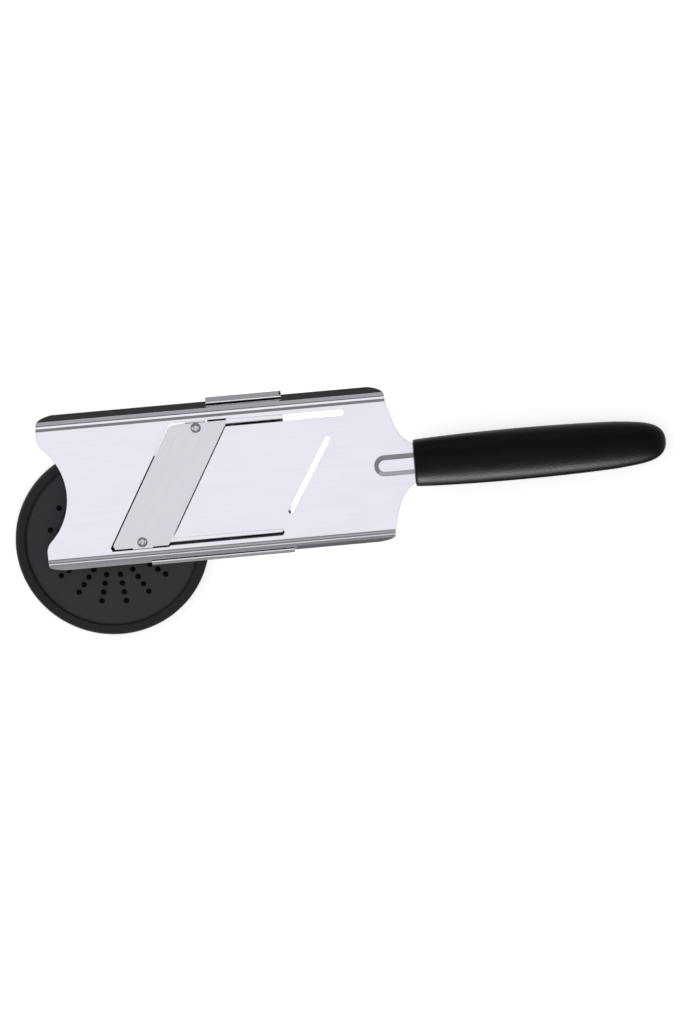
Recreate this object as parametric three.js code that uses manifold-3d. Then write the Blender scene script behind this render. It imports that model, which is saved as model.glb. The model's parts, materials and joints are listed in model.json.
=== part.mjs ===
// Truffle slicer with an adjustable tongue, and its food holder, laid down as a pair.
// Millimetres, +Z up. The slicer has a frame of its own: x runs from the open end of the plate
// to the tip of the handle, y across the plate, and z = 0 is the top of the plate.

import * as THREE from 'three';
import { mergeVertices } from 'three/addons/utils/BufferGeometryUtils.js';
import Module from 'manifold-3d';

const wasm = await Module();
wasm.setup();

// Fits
const CLEARANCE = 0.3;          // between fixed neighbours
const RUNNING_CLEARANCE = 0.5;  // round the sliding clip

// Body plate, one piece of stainless sheet
const SHEET = 1.0;
const PLATE_LENGTH = 189.4;
const FLAT_WIDTH = 70;          // between the two bends
const BEND_RADIUS = 5;          // outside of the bend
const FLARE = 47;               // degrees, flange off the upright
const FLANGE = 2.15;            // straight part of the flange, down to its crease
const LIP_FLARE = 27;           // degrees, lip below the crease off the upright
const LIP = 6.3;                // length of the lip
const FLANGE_CORNER = 13;       // length of the rounded lower corners
const FLANGE_CORNER_START = 0.2; // depth at which the rounding starts
const NOTCH_DEPTH = 13.4;       // finger notch in the open end
const NOTCH_RADIUS = 35;
const LOBE_RADIUS = 8;          // rounded lobes beside the notch

// Neck, tang and stiffening bead
const NECK_LENGTH = 13.1;       // plate end to the front of the handle
const SHOULDER_WIDTH = 56.8;    // where the shoulders turn into the neck
const SHOULDER_LEAN = 1.9;      // how far the shoulders lean out past the flanges
const NECK_CURVE_RUN = 3.1;     // pull of the neck curve along the tool
const NECK_CURVE_RISE = 3.8;    // and across it
const NECK_WALL = 2;            // handle wall beside the neck, at its front
const TANG_WALL = 4;            // handle wall beside the tang
const TANG_TAPER = 8;           // length over which the neck narrows to the tang
const TANG_LENGTH = 84;         // inside the handle
const BEAD_LEAD = 8.7;          // bead starts this far before the plate end
const BEAD_TOP_WIDTH = 6.6;
const BEAD_FLANK = 2.4;         // width of a sloping side of the bead
const BEAD_HEIGHT = 0.92;
const BEAD_IN_HANDLE = 40;

// Blade, its opening and its lugs
const SLANT = 30;               // degrees, blade off the square
const BLADE_AT = 53.4;          // back edge of the blade on the centre line
const BLADE_WIDTH = 27.1;       // square to the edge
const BLADE_SHEET = 1.0;
const BLADE_BACK_GAP = 0.7;     // open line along the back of the blade
const BLADE_END_GAP = 0.9;
const BLADE_BEVEL = 2.6;        // ground underside behind the cutting edge
const BLADE_CLIP = 2.2;         // clipped corners
const BLADE_SWEEP = 6.3;        // length of the rounded back corner
const OPENING_CLIP = 2;         // clipped corner of the opening, beside the blade's
const EDGE_STRIP = 1.4;         // plate left between the blade opening and the bend
const LUG_WIDTH = 11;
const LUG_REACH = 9.6;
const LUG_CORNER = 3;

// Blade screws and nuts
const SCREW_INSET = 3.7;        // from the end of the opening
const SCREW_HEAD = 4.9;
const SCREW_SHANK = 2.8;
const SCREW_TAIL = 0.6;         // past the nut
const RECESS_LENGTH = 3.2;
const RECESS_WIDTH = 0.8;
const RECESS_DEPTH = 0.8;
const NUT_FLATS = 5.5;
const NUT_HEIGHT = 2.4;

// Tongue: the slots that free it, and its root
const THROAT_GAP = 0.85;        // cutting edge to the tongue
const SLOT_WIDTH = 3.7;
const SLOT_STRIP = 2.0;         // plate left between a slot and the bend
const UPPER_SLOT_END = 166.9;
const LOWER_SLOT_END = 129;
const ROOT_SLOT_WIDTH = 3.2;
const ROOT_SLOT_LENGTH = 47;
const ROOT_SLOT_SLANT = 31.5;   // degrees off the square
const ROOT_SLOT_OFFSET = -1.4;  // its middle, off the centre line

// Thickness slider, a sheet clip round both flanges
const SLIDER_SHEET = 0.9;
const SLIDER_AT = 74.2;         // its slanted end on the centre line
const SLIDER_END = 133.8;       // its square end
const SLIDER_DROP = 6;          // top of the plate to the top of its web
const SLIDER_LEG = 3.8;         // outer leg that hugs the lip, before its top is cut level
const EAR_DROP = 5.05;          // top of the plate to the level tops of the outer legs
const SLIDER_SHIFT = 0.25;      // within its play, towards +y
const HEM_EASE = 0.6;           // hem past the end of the lip
const SLIDER_SLANT_SPAN = 64;   // width over which the end is slanted
const SLIDER_TRAVEL = 28;
const WEB_BEND = 2;
const RIB_SETBACK = 20;         // rib behind the slanted end
const RIB_SPAN = 48;
const RIB_TOP_WIDTH = 3;
const RIB_FLANK = 2.6;
const RIB_CLEARANCE = 1.1;      // under the tongue, which swings down as the rib moves away

// Handle
const HANDLE_LENGTH = 137.2;
const HANDLE_FRONT_WIDTH = 25.6;
const HANDLE_BELLY = 1.65;      // swell of the side curve's control points
const HANDLE_EASE = 32;         // their distance from the ends of that curve
const HANDLE_THICKNESS = 19.6;
const HANDLE_TAIL = 27;         // length of the rounded tail
const TAIL_EASE = 15;           // pull of the tail curve along the handle
const TAIL_FALL = 1.5;          // how much it narrows over that pull
const TAIL_BLUNTNESS = 11;      // half width that the tip curve aims at
const HANDLE_EDGE = 1.4;        // chamfer round the front
const HANDLE_SQUARENESS = 2.4;  // 2 is an ellipse

// Food holder
const GUARD_RADIUS = 53;
const GUARD_HEIGHT = 10;
const RIM_WIDTH = 5.6;
const RIM_OUTER_ROUND = 2.4;
const RIM_INNER_ROUND = 1.2;
const DISH_DEPTH = 1.7;
const DISH_FLOOR = 3.8;
const CREASE_WIDTH = 0.9;
const CREASE_DEPTH = 0.5;
const BACK_ROUND = 3;
const PIN_RINGS = 4;
const PIN_SPOKES = 16;
const PIN_FIRST_RADIUS = 19.2;
const PIN_RING_STEP = 5.05;
const PIN_BASE = 2.5;
const PIN_TIP = 1.8;
const PIN_HEIGHT = 1.5;
const GRIP_RADIUS = 33;
const GRIP_WALL = 1.6;
const GRIP_WAIST = 2.2;         // finger groove round the grip
const GRIP_EDGE = 1;
const SPIGOT_WALL = 2;          // ring on the holder's back that plugs into the grip
const SPIGOT_HEIGHT = 1.4;

// Where the food holder lies, seen from above in the slicer's frame
const GUARD_AT_X = 34.9;
const GUARD_AT_Y = -30.3;
const GUARD_TURN = -3.95;       // degrees, pins against the slicer

// Fineness of curves
const CURVE_STEPS = 6;
const RING_STEPS = 24;
const LATHE_STEPS = 48;
const PIN_SIDES = 6;

const PAST = 1;                 // how far a cut runs past a face
const FAR = 500;                // wider than the whole tool
const TINY = 1e-6;
const WELD = 1e-4;              // points closer than this are one
const SETTLING_ROUNDS = 4;      // for the point under the handle that touches the floor

const rad = THREE.MathUtils.degToRad;
const vec = (x, y) => new THREE.Vector2(x, y);

// Solids from closed geometries, and back

function toSolid(geometry) {
  const bare = geometry.index ? geometry.toNonIndexed() : geometry.clone();
  bare.deleteAttribute('normal');
  bare.deleteAttribute('uv');
  const merged = mergeVertices(bare, WELD);
  const index = merged.index.array;
  const triangles = [];
  for (let i = 0; i < index.length; i += 3) {
    const [a, b, c] = index.slice(i, i + 3);
    if (a !== b && b !== c && c !== a) {
      triangles.push(a, b, c);
    }
  }
  const mesh = new wasm.Mesh({
    numProp: 3,
    vertProperties: new Float32Array(merged.attributes.position.array),
    triVerts: new Uint32Array(triangles),
  });
  return new wasm.Manifold(mesh);
}

function toGeometry(solid) {
  const mesh = solid.getMesh();
  const geometry = new THREE.BufferGeometry();
  geometry.setAttribute('position', new THREE.BufferAttribute(mesh.vertProperties, 3));
  geometry.setIndex(new THREE.BufferAttribute(mesh.triVerts, 1));
  geometry.computeVertexNormals();
  return geometry;
}

function extrude(shape, depth) {
  return new THREE.ExtrudeGeometry(shape, { depth, bevelEnabled: false, curveSegments: CURVE_STEPS });
}

// A plan outline between two heights
function slab(shape, low, high) {
  return toSolid(extrude(shape, high - low).translate(0, 0, low));
}

// A section in y and z, swept along x
function sweepAlong(shape, from, to) {
  const turn = new THREE.Matrix4().makeBasis(
    new THREE.Vector3(0, 1, 0), new THREE.Vector3(0, 0, 1), new THREE.Vector3(1, 0, 0));
  return toSolid(extrude(shape, to - from).applyMatrix4(turn).translate(from, 0, 0));
}

// A side outline in x and z, swept across the tool
function sweepAcross(shape) {
  return toSolid(extrude(shape, 2 * FAR).rotateX(Math.PI / 2).translate(0, FAR, 0));
}

// A closed skin over rings of equal point counts; flatten gives a point in the plane of the end caps
function loft(rings, flatten) {
  const count = rings[0].length;
  const last = (rings.length - 1) * count;
  const index = [];
  for (let r = 0; r + 1 < rings.length; r += 1) {
    for (let i = 0; i < count; i += 1) {
      const a = r * count + i;
      const b = r * count + ((i + 1) % count);
      index.push(a, b, b + count);
      index.push(a, b + count, a + count);
    }
  }
  for (const [a, b, c] of THREE.ShapeUtils.triangulateShape(rings[0].map(flatten), [])) {
    index.push(c, b, a);
  }
  for (const [a, b, c] of THREE.ShapeUtils.triangulateShape(rings.at(-1).map(flatten), [])) {
    index.push(last + a, last + b, last + c);
  }
  const geometry = new THREE.BufferGeometry().setFromPoints(rings.flat());
  geometry.setIndex(index);
  return toSolid(geometry);
}

function turned(profile, steps) {
  return toSolid(new THREE.LatheGeometry(profile.getPoints(CURVE_STEPS / 2), steps).rotateX(Math.PI / 2));
}

// Outlines

// Half an outline from the centre line back to it, completed by its mirror image
function mirrored(points, flip) {
  const off = points.filter((p) => p.distanceTo(flip(p)) > TINY);
  return [...points, ...off.reverse().map(flip)];
}

const flipY = (p) => vec(p.x, -p.y);
const flipX = (p) => vec(-p.x, p.y);

function polygon(...points) {
  return new THREE.Shape(points);
}

// A strip with round ends round a straight centre line
function stadium(from, to, halfWidth) {
  const heading = to.clone().sub(from).angle();
  const path = new THREE.Path();
  path.absarc(to.x, to.y, halfWidth, heading - Math.PI / 2, heading + Math.PI / 2);
  path.absarc(from.x, from.y, halfWidth, heading + Math.PI / 2, heading + 1.5 * Math.PI);
  const points = path.getPoints(CURVE_STEPS);
  return points[0].distanceTo(points.at(-1)) < TINY ? points.slice(0, -1) : points;
}

// Bent sheet seen end on: a centre line given its thickness
function ribbon(points, thickness) {
  const line = points.filter((p, i) => i === 0 || p.distanceTo(points[i - 1]) > TINY);
  const sides = [[], []];
  line.forEach((point, i) => {
    const before = point.clone().sub(line[Math.max(i - 1, 0)]).normalize();
    const after = line[Math.min(i + 1, line.length - 1)].clone().sub(point).normalize();
    const heading = before.clone().add(after).normalize();
    const normal = vec(-heading.y, heading.x);
    const straight = i === 0 ? after : before;
    const reach = thickness / 2 / (normal.x * -straight.y + normal.y * straight.x);
    sides[0].push(point.clone().addScaledVector(normal, reach));
    sides[1].push(point.clone().addScaledVector(normal, -reach));
  });
  return new THREE.Shape([...sides[0], ...sides[1].reverse()]);
}

// A rib pressed up out of sheet whose top lies at the given height: what it adds, and the hollow under it
function pressing({ from, to, topWidth, flank, height, sheet, level }) {
  const ring = (halfWidth, z) => stadium(from, to, halfWidth).map((p) => new THREE.Vector3(p.x, p.y, z));
  const top = topWidth / 2;
  const inset = sheet / 2;
  const plan = (p) => vec(p.x, p.y);
  const added = [
    ring(top + flank, level - sheet / 2),
    ring(top + flank, level),
    ring(top, level + height),
  ];
  const hollow = [
    ring(top + flank - inset, level - sheet - PAST),
    ring(top + flank - inset, level - sheet),
    ring(top - inset, level + height - sheet),
  ];
  return { added: loft(added, plan), hollow: loft(hollow, plan) };
}

// Places that several pieces share

const slope = Math.tan(rad(SLANT));
const flatHalf = FLAT_WIDTH / 2;
const handleFront = PLATE_LENGTH + NECK_LENGTH;

// Flange of the +y side in y and z: its crease, and places out of the lip's face and down along it
const bend = rad(90 - FLARE);
const lipBend = rad(90 - LIP_FLARE);
const faceAt = (turn) => vec(Math.sin(turn), Math.cos(turn));
const alongAt = (turn) => vec(Math.cos(turn), -Math.sin(turn));
const crease = vec(flatHalf, -BEND_RADIUS)
  .addScaledVector(faceAt(bend), BEND_RADIUS)
  .addScaledVector(alongAt(bend), FLANGE);
const creaseInside = crease.clone()
  .addScaledVector(faceAt((bend + lipBend) / 2), -SHEET / Math.cos((lipBend - bend) / 2));
const outward = faceAt(lipBend);
const downward = alongAt(lipBend);
const lipPoint = (out, down) => crease.clone().addScaledVector(outward, out).addScaledVector(downward, down);
const flangeDepth = -lipPoint(-SHEET, LIP).y;

// Blade and its opening
const openHalf = flatHalf - EDGE_STRIP;
const bladeHalf = openHalf - BLADE_END_GAP;
const bladeBack = (y) => BLADE_AT + slope * y;
const bladeEdge = (y) => bladeBack(y) + BLADE_WIDTH / Math.cos(rad(SLANT));
const screwY = openHalf - SCREW_INSET;
const screwX = (y) => (bladeBack(y) + bladeEdge(y)) / 2;
const lugTop = -BLADE_SHEET - CLEARANCE;
const lugBottom = lugTop - SHEET;
const nutTop = lugBottom - CLEARANCE;
const screwHoleRadius = SCREW_SHANK / 2 + CLEARANCE;

// Tongue and the slots round it
const slotOut = flatHalf - SLOT_STRIP;
const slotIn = slotOut - SLOT_WIDTH;
const slotMid = (slotOut + slotIn) / 2;
const slotEnd = (side) => (side > 0 ? UPPER_SLOT_END : LOWER_SLOT_END) - SLOT_WIDTH / 2;
const rootSlope = (slotEnd(1) - slotEnd(-1)) / (2 * slotMid);
const rootX = (y) => (slotEnd(1) + slotEnd(-1)) / 2 + rootSlope * y;
const neckCut = CLEARANCE * Math.hypot(1, rootSlope);

// Neck and tang in the handle
const neckHalf = HANDLE_FRONT_WIDTH / 2 - NECK_WALL;
const tangHalf = HANDLE_FRONT_WIDTH / 2 - TANG_WALL;

// Slider: centre line of its sheet round the lip, and the lowest line of its hem
const hemGap = RUNNING_CLEARANCE + SLIDER_SHEET / 2;
const hemRadius = hemGap + SHEET / 2;
const hemCentre = lipPoint(-SHEET / 2, LIP + HEM_EASE);
const hemLow = hemCentre.y - hemRadius - SLIDER_SHEET / 2;
const webLevel = -SLIDER_DROP - SLIDER_SHEET / 2;
const sliderBack = (y) => SLIDER_AT + slope * y;

const bead = {
  from: vec(PLATE_LENGTH - BEAD_LEAD + BEAD_TOP_WIDTH / 2 + BEAD_FLANK, 0),
  to: vec(handleFront + BEAD_IN_HANDLE, 0),
  topWidth: BEAD_TOP_WIDTH,
  flank: BEAD_FLANK,
  height: BEAD_HEIGHT,
  sheet: SHEET,
  level: 0,
};

// Body plate

function plateSection() {
  const half = new THREE.Path();
  half.moveTo(0, 0);
  half.absarc(flatHalf, -BEND_RADIUS, BEND_RADIUS, Math.PI / 2, Math.PI / 2 - bend, true);
  half.lineTo(...crease);
  half.lineTo(...lipPoint(0, LIP));
  half.lineTo(...lipPoint(-SHEET, LIP));
  half.lineTo(...creaseInside);
  half.absarc(flatHalf, -BEND_RADIUS, BEND_RADIUS - SHEET, Math.PI / 2 - bend, Math.PI / 2);
  half.lineTo(0, -SHEET);
  return new THREE.Shape(mirrored(half.getPoints(CURVE_STEPS), flipX));
}

function platePlan() {
  const notchCentre = NOTCH_DEPTH - NOTCH_RADIUS;
  const lobeRun = LOBE_RADIUS - notchCentre;
  const lobeY = Math.sqrt((NOTCH_RADIUS + LOBE_RADIUS) ** 2 - lobeRun ** 2);
  const meet = Math.atan2(lobeY, lobeRun);
  const tangEnd = handleFront + TANG_LENGTH;
  const half = new THREE.Path();
  half.moveTo(NOTCH_DEPTH, 0);
  half.absarc(notchCentre, 0, NOTCH_RADIUS, 0, meet);
  half.absarc(LOBE_RADIUS, lobeY, LOBE_RADIUS, meet + Math.PI, Math.PI, true);
  half.lineTo(0, FAR);
  half.lineTo(PLATE_LENGTH, FAR);
  half.lineTo(PLATE_LENGTH, flatHalf);
  const shoulder = vec(PLATE_LENGTH + SHOULDER_LEAN, SHOULDER_WIDTH / 2);
  half.lineTo(shoulder.x, shoulder.y);
  half.quadraticCurveTo(shoulder.x + NECK_CURVE_RUN, neckHalf + NECK_CURVE_RISE, handleFront, neckHalf);
  half.lineTo(handleFront + TANG_TAPER, tangHalf);
  half.lineTo(tangEnd, tangHalf);
  half.lineTo(tangEnd, 0);
  return new THREE.Shape(mirrored(half.getPoints(2 * CURVE_STEPS), flipY));
}

// Side view of the flanges, with their lower corners rounded
function plateSide() {
  const drop = flangeDepth - FLANGE_CORNER_START;
  const shape = new THREE.Shape();
  shape.moveTo(FAR, FAR);
  shape.lineTo(0, FAR);
  shape.lineTo(0, -FLANGE_CORNER_START);
  shape.absellipse(FLANGE_CORNER, -FLANGE_CORNER_START, FLANGE_CORNER, drop, Math.PI, 1.5 * Math.PI);
  shape.absellipse(PLATE_LENGTH - FLANGE_CORNER, -FLANGE_CORNER_START, FLANGE_CORNER, drop,
    1.5 * Math.PI, 2 * Math.PI);
  shape.lineTo(FAR, -FLANGE_CORNER_START);
  return shape;
}

function slotOutline(side) {
  const y = side * slotMid;
  const start = vec(bladeEdge(y) - PAST, y);
  return new THREE.Shape(stadium(start, vec(slotEnd(side), y), SLOT_WIDTH / 2));
}

function rootSlot() {
  const along = vec(Math.sin(rad(ROOT_SLOT_SLANT)), Math.cos(rad(ROOT_SLOT_SLANT)));
  const reach = (ROOT_SLOT_LENGTH - ROOT_SLOT_WIDTH) / 2;
  const middle = vec(rootX(ROOT_SLOT_OFFSET), ROOT_SLOT_OFFSET);
  const from = middle.clone().addScaledVector(along, -reach);
  const to = middle.clone().addScaledVector(along, reach);
  return slab(new THREE.Shape(stadium(from, to, ROOT_SLOT_WIDTH / 2)), -SHEET - PAST, PAST);
}

function plateOpenings() {
  const back = (y) => bladeBack(y) - BLADE_BACK_GAP;
  const bladeHole = polygon(
    vec(back(-openHalf) + OPENING_CLIP, -openHalf), vec(bladeEdge(-openHalf) + THROAT_GAP, -openHalf),
    vec(bladeEdge(openHalf) + THROAT_GAP, openHalf), vec(back(openHalf), openHalf),
    vec(back(OPENING_CLIP - openHalf), OPENING_CLIP - openHalf));
  const tongueHole = polygon(
    vec(bladeEdge(-slotMid), -slotMid), vec(rootX(-slotMid) + neckCut / 2, -slotMid),
    vec(rootX(slotMid) + neckCut / 2, slotMid), vec(bladeEdge(slotMid), slotMid));
  return [bladeHole, tongueHole, slotOutline(1), slotOutline(-1)]
    .map((shape) => slab(shape, -SHEET - PAST, PAST))
    .reduce((all, hole) => all.add(hole), rootSlot());
}

// Lug under one end of the blade, stepped down from the edge strip
function bladeLug(side) {
  const x = screwX(side * screwY);
  const tip = openHalf - LUG_REACH;
  const tab = new THREE.Path();
  tab.moveTo(x - LUG_WIDTH / 2, flatHalf);
  tab.lineTo(x - LUG_WIDTH / 2, tip + LUG_CORNER);
  tab.quadraticCurveTo(x - LUG_WIDTH / 2, tip, x - LUG_WIDTH / 2 + LUG_CORNER, tip);
  tab.lineTo(x + LUG_WIDTH / 2 - LUG_CORNER, tip);
  tab.quadraticCurveTo(x + LUG_WIDTH / 2, tip, x + LUG_WIDTH / 2, tip + LUG_CORNER);
  tab.lineTo(x + LUG_WIDTH / 2, flatHalf);
  const step = [
    vec(x - LUG_WIDTH / 2, openHalf), vec(x + LUG_WIDTH / 2, openHalf),
    vec(x + LUG_WIDTH / 2, flatHalf), vec(x - LUG_WIDTH / 2, flatHalf),
  ];
  const place = (points) => new THREE.Shape(points.map((p) => vec(p.x, side * p.y)));
  const lug = slab(place(tab.getPoints(CURVE_STEPS)), lugBottom, lugTop);
  const hole = slab(place(stadium(vec(x, screwY), vec(x + TINY, screwY), screwHoleRadius)),
    lugBottom - PAST, lugTop + PAST);
  return lug.add(slab(place(step), lugBottom, -SHEET / 2)).subtract(hole);
}

function bodyPlate() {
  const { added, hollow } = pressing(bead);
  return sweepAlong(plateSection(), 0, handleFront + TANG_LENGTH)
    .intersect(slab(platePlan(), -FAR, FAR))
    .intersect(sweepAcross(plateSide()))
    .subtract(plateOpenings())
    .add(bladeLug(1))
    .add(bladeLug(-1))
    .add(added)
    .subtract(hollow);
}

function adjustingTongue() {
  const outline = polygon(
    vec(bladeEdge(-slotIn) + THROAT_GAP, -slotIn), vec(rootX(-slotIn) - neckCut / 2, -slotIn),
    vec(rootX(slotIn) - neckCut / 2, slotIn), vec(bladeEdge(slotIn) + THROAT_GAP, slotIn));
  return slab(outline, -SHEET, 0).subtract(rootSlot());
}

// Blade and its fasteners

function bladeOutline(edgeInset, z) {
  const path = new THREE.Path();
  path.moveTo(bladeBack(BLADE_CLIP - bladeHalf), BLADE_CLIP - bladeHalf);
  path.lineTo(bladeBack(-bladeHalf) + BLADE_CLIP, -bladeHalf);
  path.lineTo(bladeEdge(-bladeHalf) - edgeInset, -bladeHalf);
  path.lineTo(bladeEdge(bladeHalf) - edgeInset, bladeHalf);
  path.lineTo(bladeBack(bladeHalf) + BLADE_SWEEP, bladeHalf);
  path.quadraticCurveTo(bladeBack(bladeHalf), bladeHalf,
    bladeBack(bladeHalf - BLADE_CLIP), bladeHalf - BLADE_CLIP);
  return path.getPoints(CURVE_STEPS).map((p) => new THREE.Vector3(p.x, p.y, z));
}

function slicingBlade() {
  const rings = [bladeOutline(BLADE_BEVEL / Math.cos(rad(SLANT)), -BLADE_SHEET), bladeOutline(0, 0)];
  let blade = loft(rings, (p) => vec(p.x, p.y));
  for (const side of [1, -1]) {
    const sink = new THREE.Path();
    const wide = SCREW_HEAD / 2 + CLEARANCE + PAST;
    sink.moveTo(0, -BLADE_SHEET - PAST);
    sink.lineTo(screwHoleRadius, -BLADE_SHEET - PAST);
    sink.lineTo(screwHoleRadius, screwHoleRadius + PAST - wide);
    sink.lineTo(wide, PAST);
    sink.lineTo(0, PAST);
    blade = blade.subtract(turned(sink, RING_STEPS).translate(screwX(side * screwY), side * screwY, 0));
  }
  return blade;
}

function bladeScrew() {
  const head = SCREW_HEAD / 2;
  const shank = SCREW_SHANK / 2;
  const end = nutTop - NUT_HEIGHT - SCREW_TAIL;
  const side = new THREE.Path();
  side.moveTo(0, end);
  side.lineTo(shank, end);
  side.lineTo(shank, shank - head);
  side.lineTo(head, 0);
  side.lineTo(0, 0);
  let screw = turned(side, RING_STEPS);
  for (const turn of [0, Math.PI / 2]) {
    const bar = new THREE.BoxGeometry(RECESS_LENGTH, RECESS_WIDTH, 2 * RECESS_DEPTH);
    screw = screw.subtract(toSolid(bar.rotateZ(turn)));
  }
  return screw;
}

function bladeNut() {
  const corner = NUT_FLATS / Math.sqrt(3);
  const angles = Array.from({ length: 6 }, (_, i) => i * Math.PI / 3);
  const hexagon = polygon(...angles.map((angle) => vec(corner * Math.cos(angle), corner * Math.sin(angle))));
  const bore = stadium(vec(0, 0), vec(TINY, 0), screwHoleRadius);
  const hole = slab(new THREE.Shape(bore), nutTop - NUT_HEIGHT - PAST, nutTop + PAST);
  return slab(hexagon, nutTop - NUT_HEIGHT, nutTop).subtract(hole);
}

// Thickness slider

function sliderSection() {
  const legTop = lipPoint(hemGap, LIP - SLIDER_LEG);
  const innerLeg = lipPoint(-SHEET - hemGap, LIP + HEM_EASE);
  const corner = innerLeg.clone().addScaledVector(downward, (webLevel - innerLeg.y) / downward.y);
  const legBend = corner.clone().addScaledVector(downward, WEB_BEND);
  const start = outward.angle();
  const half = new THREE.Path();
  half.moveTo(...legTop);
  half.lineTo(...lipPoint(hemGap, LIP + HEM_EASE));
  half.absarc(hemCentre.x, hemCentre.y, hemRadius, start, start - Math.PI, true);
  half.lineTo(legBend.x, legBend.y);
  half.quadraticCurveTo(corner.x, corner.y, corner.x - WEB_BEND, webLevel);
  half.lineTo(0, webLevel);
  return ribbon(mirrored(half.getPoints(CURVE_STEPS), flipX), SLIDER_SHEET);
}

function thicknessSlider() {
  const span = SLIDER_SLANT_SPAN / 2;
  const outline = polygon(
    vec(sliderBack(-span), -FAR), vec(SLIDER_END, -FAR), vec(SLIDER_END, FAR),
    vec(sliderBack(span), FAR), vec(sliderBack(span), span), vec(sliderBack(-span), -span));
  const ribEnd = (y) => vec(sliderBack(y) + RIB_SETBACK, y);
  const { added, hollow } = pressing({
    from: ribEnd(-RIB_SPAN / 2),
    to: ribEnd(RIB_SPAN / 2),
    topWidth: RIB_TOP_WIDTH,
    flank: RIB_FLANK,
    height: SLIDER_DROP - SHEET - RIB_CLEARANCE,
    sheet: SLIDER_SHEET,
    level: -SLIDER_DROP,
  });
  const beyond = (y, far) => polygon(vec(0, y), vec(FAR, y), vec(FAR, far), vec(0, far));
  const aboveEar = (side) => slab(beyond(side * crease.x, side * FAR), -EAR_DROP, FAR);
  return sweepAlong(sliderSection(), sliderBack(-span), SLIDER_END)
    .intersect(slab(outline, -FAR, FAR))
    .subtract(aboveEar(1))
    .subtract(aboveEar(-1))
    .add(added)
    .subtract(hollow);
}

// Handle

function handleRing(x, halfWidth, halfHeight) {
  const power = 2 / HANDLE_SQUARENESS;
  const bulge = (value) => Math.sign(value) * Math.abs(value) ** power;
  const ring = [];
  for (let i = 0; i < RING_STEPS; i += 1) {
    const angle = 2 * Math.PI * (i + 0.5) / RING_STEPS;
    const y = halfWidth * bulge(Math.cos(angle));
    ring.push(new THREE.Vector3(x, y, halfHeight * bulge(Math.sin(angle)) - SHEET / 2));
  }
  return ring;
}

function handleSide() {
  const front = HANDLE_FRONT_WIDTH / 2;
  const straight = HANDLE_LENGTH - HANDLE_TAIL;
  const side = new THREE.Path();
  side.moveTo(0, front - HANDLE_EDGE);
  side.lineTo(HANDLE_EDGE, front);
  const belly = front + HANDLE_BELLY;
  side.bezierCurveTo(HANDLE_EASE, belly, straight - HANDLE_EASE, belly, straight, front);
  side.bezierCurveTo(straight + TAIL_EASE, front - TAIL_FALL,
    HANDLE_LENGTH, TAIL_BLUNTNESS, HANDLE_LENGTH, 0);
  return side.getPoints(2 * CURVE_STEPS);
}

function handle() {
  const side = handleSide();
  const widest = Math.max(...side.map((p) => p.y));
  const rings = side.map((p) => handleRing(handleFront + p.x, p.y, p.y * HANDLE_THICKNESS / 2 / widest));
  const pocket = new THREE.Path();
  pocket.moveTo(handleFront - PAST, 0);
  pocket.lineTo(handleFront - PAST, neckHalf + CLEARANCE);
  pocket.lineTo(handleFront, neckHalf + CLEARANCE);
  pocket.lineTo(handleFront + TANG_TAPER, tangHalf + CLEARANCE);
  pocket.lineTo(handleFront + TANG_LENGTH + CLEARANCE, tangHalf + CLEARANCE);
  pocket.lineTo(handleFront + TANG_LENGTH + CLEARANCE, 0);
  const pocketShape = new THREE.Shape(mirrored(pocket.getPoints(), flipY));
  const groove = pressing({
    ...bead,
    topWidth: BEAD_TOP_WIDTH + 2 * CLEARANCE,
    height: BEAD_HEIGHT + CLEARANCE,
  });
  return loft(rings, (p) => vec(p.y, p.z))
    .subtract(slab(pocketShape, -SHEET - CLEARANCE, CLEARANCE))
    .subtract(groove.added);
}

// Food holder, pins up, standing on its grip

const dishLevel = GUARD_HEIGHT - DISH_DEPTH;
const backLevel = dishLevel - DISH_FLOOR;
const gripTop = backLevel - CLEARANCE;
const spigotRadius = GRIP_RADIUS - GRIP_WALL - CLEARANCE - GRIP_EDGE;

function guardDisc() {
  const rimInner = GUARD_RADIUS - RIM_WIDTH;
  const side = new THREE.Path();
  side.moveTo(0, backLevel);
  side.lineTo(spigotRadius - SPIGOT_WALL, backLevel);
  side.lineTo(spigotRadius - SPIGOT_WALL, backLevel - SPIGOT_HEIGHT);
  side.lineTo(spigotRadius, backLevel - SPIGOT_HEIGHT);
  side.lineTo(spigotRadius, backLevel);
  side.lineTo(GUARD_RADIUS - BACK_ROUND, backLevel);
  side.quadraticCurveTo(GUARD_RADIUS, backLevel, GUARD_RADIUS, backLevel + BACK_ROUND);
  side.absarc(GUARD_RADIUS - RIM_OUTER_ROUND, GUARD_HEIGHT - RIM_OUTER_ROUND,
    RIM_OUTER_ROUND, 0, Math.PI / 2);
  side.absarc(rimInner + RIM_INNER_ROUND, GUARD_HEIGHT - RIM_INNER_ROUND,
    RIM_INNER_ROUND, Math.PI / 2, Math.PI);
  side.lineTo(rimInner, dishLevel - CREASE_DEPTH);
  side.lineTo(rimInner - CREASE_WIDTH, dishLevel - CREASE_DEPTH);
  side.lineTo(rimInner - CREASE_WIDTH, dishLevel);
  side.lineTo(0, dishLevel);
  let disc = turned(side, LATHE_STEPS);
  for (let spoke = 0; spoke < PIN_SPOKES; spoke += 1) {
    const angle = 2 * Math.PI * (spoke + 0.5) / PIN_SPOKES;
    for (let ring = 0; ring < PIN_RINGS; ring += 1) {
      const radius = PIN_FIRST_RADIUS + ring * PIN_RING_STEP;
      disc = disc.add(guardPin().translate(radius * Math.cos(angle), radius * Math.sin(angle), 0));
    }
  }
  return disc;
}

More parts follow.
